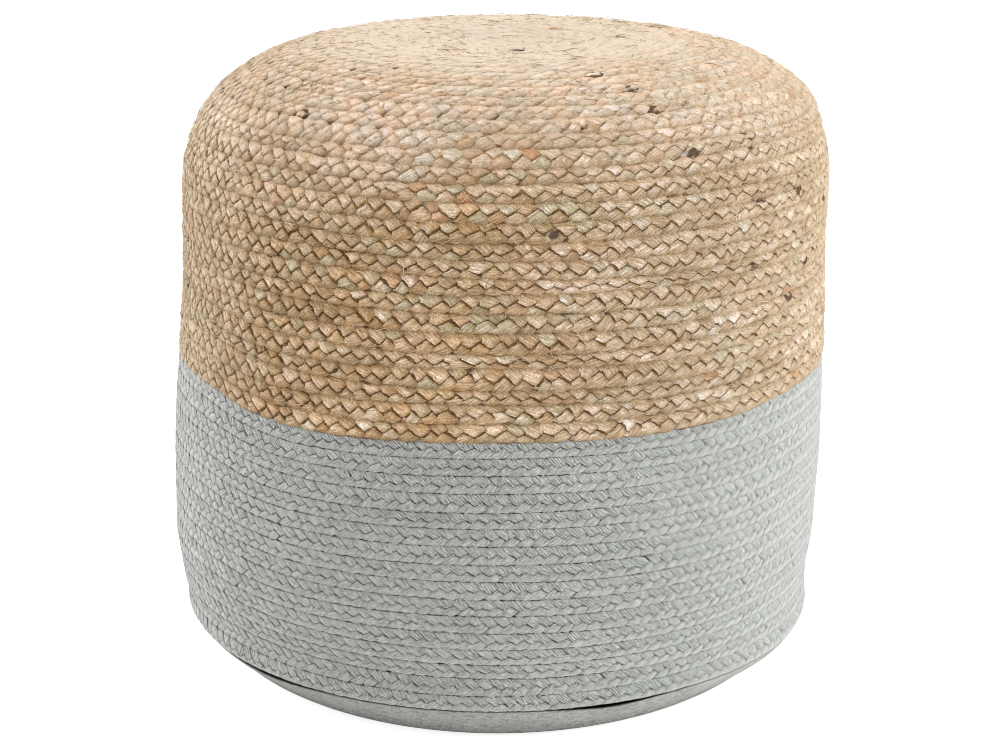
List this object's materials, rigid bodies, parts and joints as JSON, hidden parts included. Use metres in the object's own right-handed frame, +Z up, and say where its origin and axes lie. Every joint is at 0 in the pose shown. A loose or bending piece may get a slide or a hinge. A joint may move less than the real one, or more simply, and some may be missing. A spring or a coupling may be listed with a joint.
{
  "type": "round braided pouf",
  "caption": "Round filled floor pouf with a wound jute braid over a wound cotton braid and a plain cloth base, for sitting on or resting the feet.",
  "frame": {"origin": "on the floor, under the middle of the box around the pouf", "axes": "+Z up, out of the middle of the top; the slight lean of the filled cover is towards +X"},
  "size_m": [0.45, 0.4492, 0.413],
  "materials": {
    "jute_braid": "natural jute, three-strand plait, matte with a faint fibre sheen",
    "cotton_braid": "light grey cotton cords, plaited flat, matte",
    "base_cloth": "grey felted cloth, matte"
  },
  "bodies": {
    "root": {"base_panel": "base_cloth", "cotton_band": "cotton_braid", "jute_cover": "jute_braid"}
  },
  "joints": []
}
